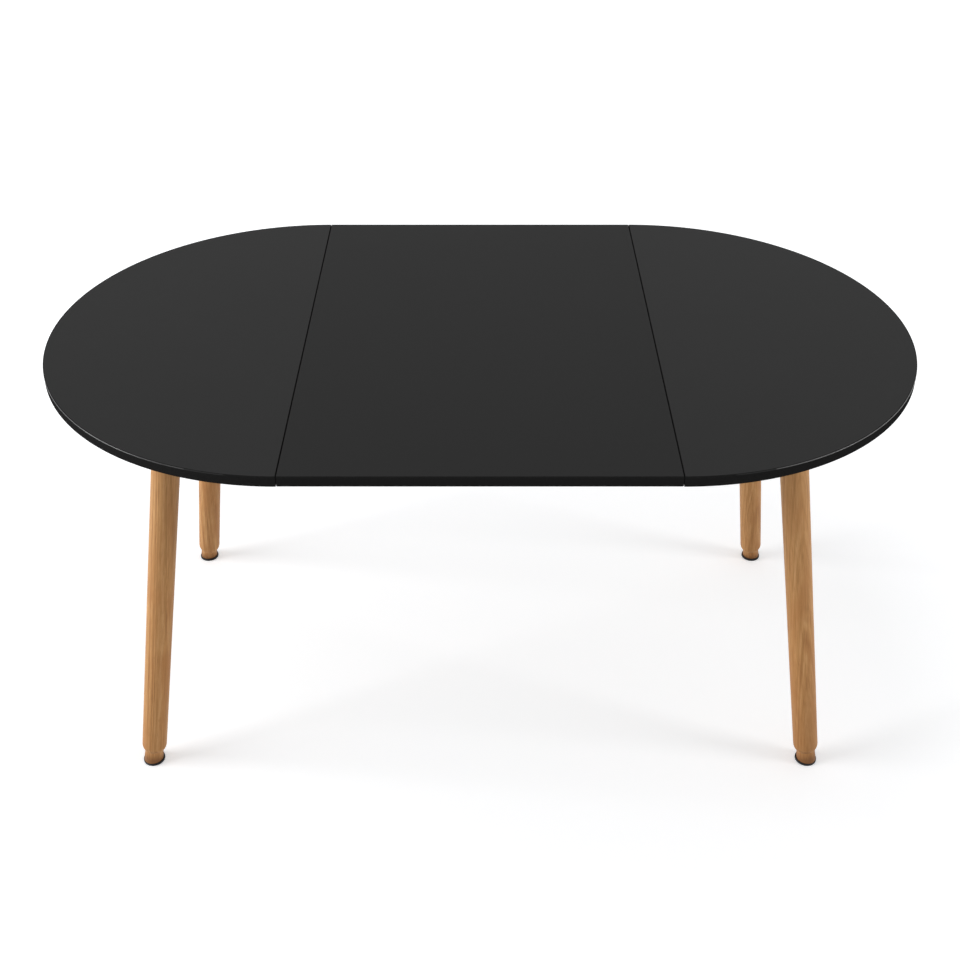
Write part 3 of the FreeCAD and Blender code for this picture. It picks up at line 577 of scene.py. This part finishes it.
def leg_profile(settings, leg_length):
    """(radius, distance along the axis from the floor) from just above the glide up to the seat."""
    shoulder = settings.shoulder_height / math.cos(settings.splay)
    neck = shoulder - settings.neck_slope
    hollow = cove(settings, neck)
    corners = [(hollow[-1], 0.0),
               ((settings.neck_radius, neck), settings.neck_round),
               ((settings.shoulder_radius, shoulder), settings.shoulder_round),
               ((settings.seat_radius, leg_length), 0.0)]
    return hollow + softened(corners)[1:]


def leg_stand(settings, side, end):
    """The leg's own frame, with its origin where the axis meets the floor and z up along the axis, and
    the leg's length from there to its seat."""
    lean = math.tan(settings.splay) / math.sqrt(2)
    seat_height = LEG_HIGH.z - settings.seat_radius * math.sin(settings.splay)
    middle = (BLOCK_LOW + BLOCK_HIGH) / 2
    floor = Vector((side * (middle.x + lean * seat_height), end * (middle.y + lean * seat_height), 0.0))
    upward = Vector((-side * lean, -end * lean, 1.0)).normalized()
    across = Vector((0.0, 0.0, 1.0)).cross(upward).normalized()
    turn = Matrix((across, upward.cross(across), upward)).transposed().to_4x4()
    return Matrix.Translation(floor) @ turn, seat_height / math.cos(settings.splay)


def leg_rings(settings, stand, leg_length):
    """Rings up the leg. The lowest is cut level, to stand flat on its glide."""
    turns = [2 * math.pi * step / LEG_STEPS for step in range(LEG_STEPS)]
    upright = stand.to_3x3().row[2]
    foot = []
    for turn in turns:
        x = settings.foot_radius * math.cos(turn)
        y = settings.foot_radius * math.sin(turn)
        foot.append((x, y, (GLIDE_HIGH.z - upright.x * x - upright.y * y) / upright.z))
    rings = [foot]
    for radius, height in leg_profile(settings, leg_length):
        rings.append([(radius * math.cos(turn), radius * math.sin(turn), height) for turn in turns])
    return [[stand @ Vector(point) for point in ring] for ring in rings]


def oak_finish(settings, name, stand, shift, turn, shade):
    """Oiled oak, straight-grained along the leg: growth rings, streaks, fine fibres, short dark pores and
    ruddy patches. Painted light makes it paler upwards, it darkens downwards, and painted shade darkens its
    foot just above the glide."""
    finish = Finish(name, Specular_IOR_Level=0.3)
    finish.place = finish.node("ShaderNodeMapping", {
        "Vector": finish.place, "Location": stand.to_translation(), "Rotation": stand.to_euler(),
    }, vector_type="TEXTURE").outputs["Vector"]

    def drawn_out(stretch):
        return finish.stretched((1.0, 1.0, stretch), shift)

    log = finish.stretched((1.0, 1.0, 0.05), shift, (0.0, 0.0, turn))
    drift = finish.noise(log, scale=28.0, detail=2.0)
    pith = finish.node("ShaderNodeVectorMath", {0: log, 1: PITH}, operation="DISTANCE").outputs["Value"]
    radius = finish.maths("ADD", pith, finish.maths("MULTIPLY", drift, RING_DRIFT))
    rings = finish.node("ShaderNodeTexNoise", {
        "W": radius, "Scale": 330.0, "Detail": 2.0, "Roughness": 0.6,
    }, noise_dimensions="1D").outputs["Fac"]
    fibres = finish.noise(drawn_out(0.03), scale=700.0, roughness=0.6)
    streaks = finish.noise(drawn_out(0.075), scale=260.0, roughness=0.6, distortion=0.3)
    tone = finish.blend((rings, 0.38), (streaks, 0.36), (fibres, 0.26))
    wood = finish.ramp(tone, (0.34, settings.dark), (0.50, settings.middle), (0.66, settings.light))
    pores = finish.between(finish.noise(drawn_out(0.035), scale=1700.0, detail=1.0), 0.62, 0.70)
    wood = finish.mixed(finish.maths("MULTIPLY", pores, 0.55), wood, settings.dark)
    patches = finish.noise(drawn_out(0.30), scale=30.0, roughness=0.55)
    wood = finish.mixed(finish.between(patches, 0.45, 0.68, to_high=0.60), wood, settings.ruddy)
    height = finish.parts(finish.place)["Z"]
    # Painted light: the upper leg, where the board above shades it, is mixed towards the palest oak
    wood = finish.mixed(finish.between(height, *LEG_PAINTED_LIGHT, to_high=0.22), wood, settings.light)
    wood = finish.mixed(finish.between(height, *FOOT_SHADING, shade, 0.0), wood, settings.dark)
    # Painted shade: the foot just above the glide is darkened, with a ragged edge that follows the streaks
    ragged = finish.maths("ADD", height, finish.maths("MULTIPLY", streaks, GLIDE_SHADE_RAGGED))
    wood = finish.mixed(finish.between(ragged, *GLIDE_PAINTED_SHADE, 0.85, 0.0), wood, settings.painted_glide_shade)
    finish.set("Base Color", wood)
    finish.roughen(fibres, 0.46, 0.60)
    finish.bump(finish.maths("SUBTRACT", fibres, pores), depth=0.08 * MM)
    return finish.material


class TABLE_OT_legs(Operator):
    """Turn the four splayed oak legs, each with its shoulder, neck and level-cut foot"""

    bl_idname = "table.legs"
    bl_label = "Turned legs"

    def execute(self, context):
        settings = context.scene.extending_table.legs
        for count, (side, end) in enumerate(LEGS):
            stand, leg_length = leg_stand(settings, SIDES[side], ENDS[end])
            shape = bmesh.new()
            skin(shape, leg_rings(settings, stand, leg_length))
            leg = new_piece(f"{side}_{end}_turned_leg", shape)
            shift = tuple(step * count for step in LOG_STEP)
            name = f"oiled_oak_{side}_{end}"
            dress(leg, oak_finish(settings, name, stand, shift, LOG_TURN * count, FOOT_SHADES[count]))
            settle(leg, f"{side}_half", "oiled_oak", f"{side}_{end}_leg")
        return {"FINISHED"}


def glide_finish(settings):
    """Moulded black plastic with a fine spark-eroded skin and faint scuffs."""
    finish = Finish("black_plastic", Specular_IOR_Level=0.15)
    skin_grain = finish.noise(finish.place, scale=2200.0, detail=2.0)
    scuffs = finish.noise(finish.stretched((1.0, 1.0, 4.0)), scale=160.0, detail=4.0, roughness=0.65)
    pale = toned(settings.plastic, 3.0)
    finish.set("Base Color", finish.ramp(scuffs, (0.45, settings.plastic), (0.80, pale)))
    finish.roughen(scuffs, 0.38, 0.55)
    finish.bump(skin_grain, depth=0.03 * MM)
    return finish.material


class TABLE_OT_glides(Operator):
    """Finish the four round glides under the legs"""

    bl_idname = "table.glides"
    bl_label = "Glides"

    def execute(self, context):
        settings = context.scene.extending_table.glides
        dress_nodes("black_plastic", glide_finish(settings))
        return {"FINISHED"}


def beech_finish(settings, name, along):
    """Plain sanded beech with its grain along one axis and short brown flecks."""
    finish = Finish(name, Specular_IOR_Level=0.3)

    def drawn_out(stretch):
        return finish.stretched(tuple(stretch if axis == along else 1.0 for axis in range(3)))

    fibres = finish.noise(drawn_out(0.03), scale=800.0, roughness=0.6)
    bands = finish.noise(drawn_out(0.03), scale=60.0)
    tone = finish.blend((fibres, 0.35), (bands, 0.65))
    wood = finish.ramp(tone, (0.36, settings.middle), (0.64, settings.light))
    flecks = finish.between(finish.noise(drawn_out(0.14), scale=900.0, detail=0.0), 0.66, 0.74)
    finish.set("Base Color", finish.mixed(finish.maths("MULTIPLY", flecks, 0.6), wood, settings.fleck))
    finish.roughen(fibres, 0.52, 0.66)
    finish.bump(fibres, depth=0.06 * MM)
    return finish.material


class TABLE_OT_frame(Operator):
    """Finish the beech blocks, rails, runners, ties, rests, pegs, dowels and battens"""

    bl_idname = "table.beech_frame"
    bl_label = "Beech frame"

    def execute(self, context):
        settings = context.scene.extending_table.frame
        materials = [beech_finish(settings, f"beech_along_{axis}", index)
                     for index, axis in enumerate("xyz")]
        for name in nodes_of("beech"):
            low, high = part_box(name)
            reach = list(high - low)
            longest = reach.index(max(reach))
            along = BEECH_GRAIN.get(name.split("_")[-1], longest)
            dress(frame["nodes"][name], materials[along])
        return {"FINISHED"}


def metal_finish(name, tone, rough, dulling):
    """Bare or plated metal with faint drawing lines and uneven sheen."""
    finish = Finish(name, Metallic=1.0)
    cloud = finish.noise(finish.place, scale=240.0, detail=4.0, roughness=0.6)
    lines = finish.noise(finish.stretched((1.0, 1.0, 12.0)), scale=700.0, detail=2.0)
    finish.set("Base Color", finish.ramp(cloud, (0.35, toned(tone, dulling)), (0.65, tone)))
    finish.roughen(lines, rough - METAL_SWING, rough + METAL_SWING)
    finish.bump(lines, depth=0.01 * MM)
    return finish.material


def nylon_finish(settings):
    """Moulded natural nylon, slightly cloudy and waxy."""
    finish = Finish("white_nylon", Subsurface_Weight=0.15, Specular_IOR_Level=0.4)
    finish.set("Subsurface Radius", (2.0 * MM, 1.6 * MM, 1.2 * MM))
    cloud = finish.noise(finish.place, scale=90.0)
    skin_grain = finish.noise(finish.place, scale=1800.0, detail=2.0)
    warm = tuple(part * tint for part, tint in zip(settings.nylon, NYLON_CLOUD))
    finish.set("Base Color", finish.ramp(cloud, (0.35, warm), (0.65, settings.nylon)))
    finish.roughen(cloud, 0.36, 0.48)
    finish.bump(skin_grain, depth=0.02 * MM)
    return finish.material


def felt_finish(settings):
    """Pressed grey felt: matted fibres in lighter and darker greys."""
    finish = Finish("grey_felt", Sheen_Weight=0.3, Specular_IOR_Level=0.1, Roughness=0.95)
    fibres = finish.noise(finish.place, scale=900.0, detail=5.0, roughness=0.75, distortion=1.5)
    dark = toned(settings.felt, 0.55)
    finish.set("Base Color", finish.ramp(fibres, (NOISE_LOW, dark), (NOISE_HIGH, settings.felt)))
    finish.bump(fibres, depth=0.3 * MM)
    return finish.material


class TABLE_OT_fittings(Operator):
    """Finish the screws, bolts, axles, inserts, racks, pinions and felt pads"""

    bl_idname = "table.fittings"
    bl_label = "Fittings"

    def execute(self, context):
        settings = context.scene.extending_table.fittings
        dress_nodes("zinc_steel", metal_finish("zinc_steel", settings.zinc, rough=0.34, dulling=0.86))
        dress_nodes("brass", metal_finish("brass", settings.brass, rough=0.30, dulling=0.80))
        dress_nodes("white_nylon", nylon_finish(settings))
        dress_nodes("grey_felt", felt_finish(settings))
        return {"FINISHED"}


def by_ray(nodes, given, seen):
    """One shader for the light given to the table, another for what the eye and mirror images see."""
    rays = nodes.node("ShaderNodeLightPath").outputs
    looked_at = nodes.maths("MAXIMUM", rays["Is Camera Ray"], rays["Is Glossy Ray"])
    looked_at = nodes.maths("MAXIMUM", looked_at, rays["Is Transmission Ray"])
    return nodes.node("ShaderNodeMixShader", {0: looked_at, 1: given, 2: seen}).outputs["Shader"]


def floor_finish(settings):
    """White paper floor: plain white to the eye, darkened only where the table shades it."""
    material = bpy.data.materials.new("studio_floor")
    material.use_nodes = True
    nodes = Nodes(material.node_tree)
    nodes.tree.nodes.clear()
    paper = nodes.node("ShaderNodeBsdfDiffuse", {"Color": FLOOR_BOUNCE}).outputs["BSDF"]
    shaded = nodes.node("ShaderNodeBsdfDiffuse", {"Color": (*settings.floor, 1.0)}).outputs["BSDF"]
    where = nodes.node("ShaderNodeTexCoord").outputs["Object"]
    distance = nodes.node("ShaderNodeVectorMath", {0: where}, operation="LENGTH").outputs["Value"]
    glow = nodes.between(distance, settings.near, settings.far, settings.glow, settings.far_glow)
    across = nodes.parts(where)["X"]
    lean = nodes.between(across, -settings.near, settings.near, settings.lean, -settings.lean)
    strength = nodes.maths("ADD", glow, lean)
    white = nodes.node("ShaderNodeEmission", {"Strength": strength}).outputs["Emission"]
    both = nodes.node("ShaderNodeAddShader", {0: shaded, 1: white}).outputs["Shader"]
    nodes.node("ShaderNodeOutputMaterial", {"Surface": by_ray(nodes, paper, both)})
    return material


def sky_strength(nodes, settings):
    """Bright round the sides and the back at floor level, dimmer overhead and from the front."""
    towards = nodes.parts(nodes.node("ShaderNodeTexCoord").outputs["Generated"])
    rise = nodes.between(towards["Z"], 0.0, 1.0, settings.horizon, settings.horizon * settings.zenith)
    depth = nodes.between(towards["Y"], *SKY_FRONT, settings.front, 1.0)
    return nodes.maths("MULTIPLY", rise, depth)


def studio_sky(settings):
    """Soft light from all round, and plain white where it is seen."""
    world = bpy.data.worlds.new("studio_sky")
    bpy.context.scene.world = world
    world.use_nodes = True
    nodes = Nodes(world.node_tree)
    nodes.tree.nodes.clear()
    strengths = (sky_strength(nodes, settings), 1.0)
    even, white = [nodes.node("ShaderNodeBackground", {"Color": WHITE, "Strength": strength})
                   for strength in strengths]
    surface = by_ray(nodes, even.outputs["Background"], white.outputs["Background"])
    nodes.node("ShaderNodeOutputWorld", {"Surface": surface})


def softbox(name, watts, size, hung, aim):
    lamp = bpy.data.lights.new(name, "AREA")
    lamp.energy = watts
    lamp.shape = "RECTANGLE"
    lamp.size, lamp.size_y = size
    holder = bpy.data.objects.new(name, lamp)
    bpy.context.scene.collection.objects.link(holder)
    holder.location = hung
    holder.rotation_euler = (aim - hung).to_track_quat("-Z", "Y").to_euler()


def studio_floor(settings):
    shape = bmesh.new()
    bmesh.ops.create_circle(shape, cap_ends=True, segments=FLOOR_STEPS, radius=FLOOR_RADIUS)
    floor = new_piece("studio_floor", shape)
    dress(floor, floor_finish(settings))


class TABLE_OT_studio(Operator):
    """Lay the white floor, light the sky, hang the softboxes and set up the camera"""

    bl_idname = "table.studio"
    bl_label = "Studio"

    def execute(self, context):
        settings = context.scene.extending_table.studio
        studio_floor(settings)
        studio_sky(settings)
        softbox("left_softbox", settings.left_lamp, settings.left_size,
                settings.left_place, settings.left_aim)
        softbox("right_softbox", settings.right_lamp, settings.right_size,
                settings.right_place, settings.right_aim)
        lens = bpy.data.cameras.new("photo_camera")
        lens.sensor_width = SENSOR_WIDTH
        lens.lens = settings.lens
        camera = bpy.data.objects.new("photo_camera", lens)
        context.scene.collection.objects.link(camera)
        camera.location = settings.eye
        camera.rotation_euler = (math.pi / 2 - settings.dip, 0.0, 0.0)
        context.scene.camera = camera
        context.scene.view_settings.view_transform = "Standard"
        return {"FINISHED"}


STEPS = {
    "top": TABLE_OT_top_boards,
    "legs": TABLE_OT_legs,
    "glides": TABLE_OT_glides,
    "frame": TABLE_OT_frame,
    "fittings": TABLE_OT_fittings,
    "studio": TABLE_OT_studio,
}


class TABLE_PT_sidebar(Panel):
    """The table's pieces and what can be changed on each"""

    bl_idname = "TABLE_PT_sidebar"
    bl_label = "Extending Table"
    bl_space_type = "VIEW_3D"
    bl_region_type = "UI"
    bl_category = "Table"

    def draw(self, context):
        table = context.scene.extending_table
        for pieces, step in STEPS.items():
            box = self.layout.box()
            box.operator(step.bl_idname)
            settings = getattr(table, pieces)
            for name in settings.__annotations__:
                box.prop(settings, name)


CLASSES = (
    TopSettings, LegSettings, GlideSettings, FrameSettings, FittingSettings, StudioSettings,
    TableSettings, *STEPS.values(), TABLE_PT_sidebar,
)


def register():
    for kind in CLASSES:
        bpy.utils.register_class(kind)
    bpy.types.Scene.extending_table = group("Extending table", TableSettings)


def unregister():
    del bpy.types.Scene.extending_table
    for kind in reversed(CLASSES):
        bpy.utils.unregister_class(kind)


def main():
    register()
    bpy.ops.table.top_boards()
    bpy.ops.table.legs()
    bpy.ops.table.glides()
    bpy.ops.table.beech_frame()
    bpy.ops.table.fittings()
    bpy.ops.table.studio()


if __name__ == "__main__":
    main()
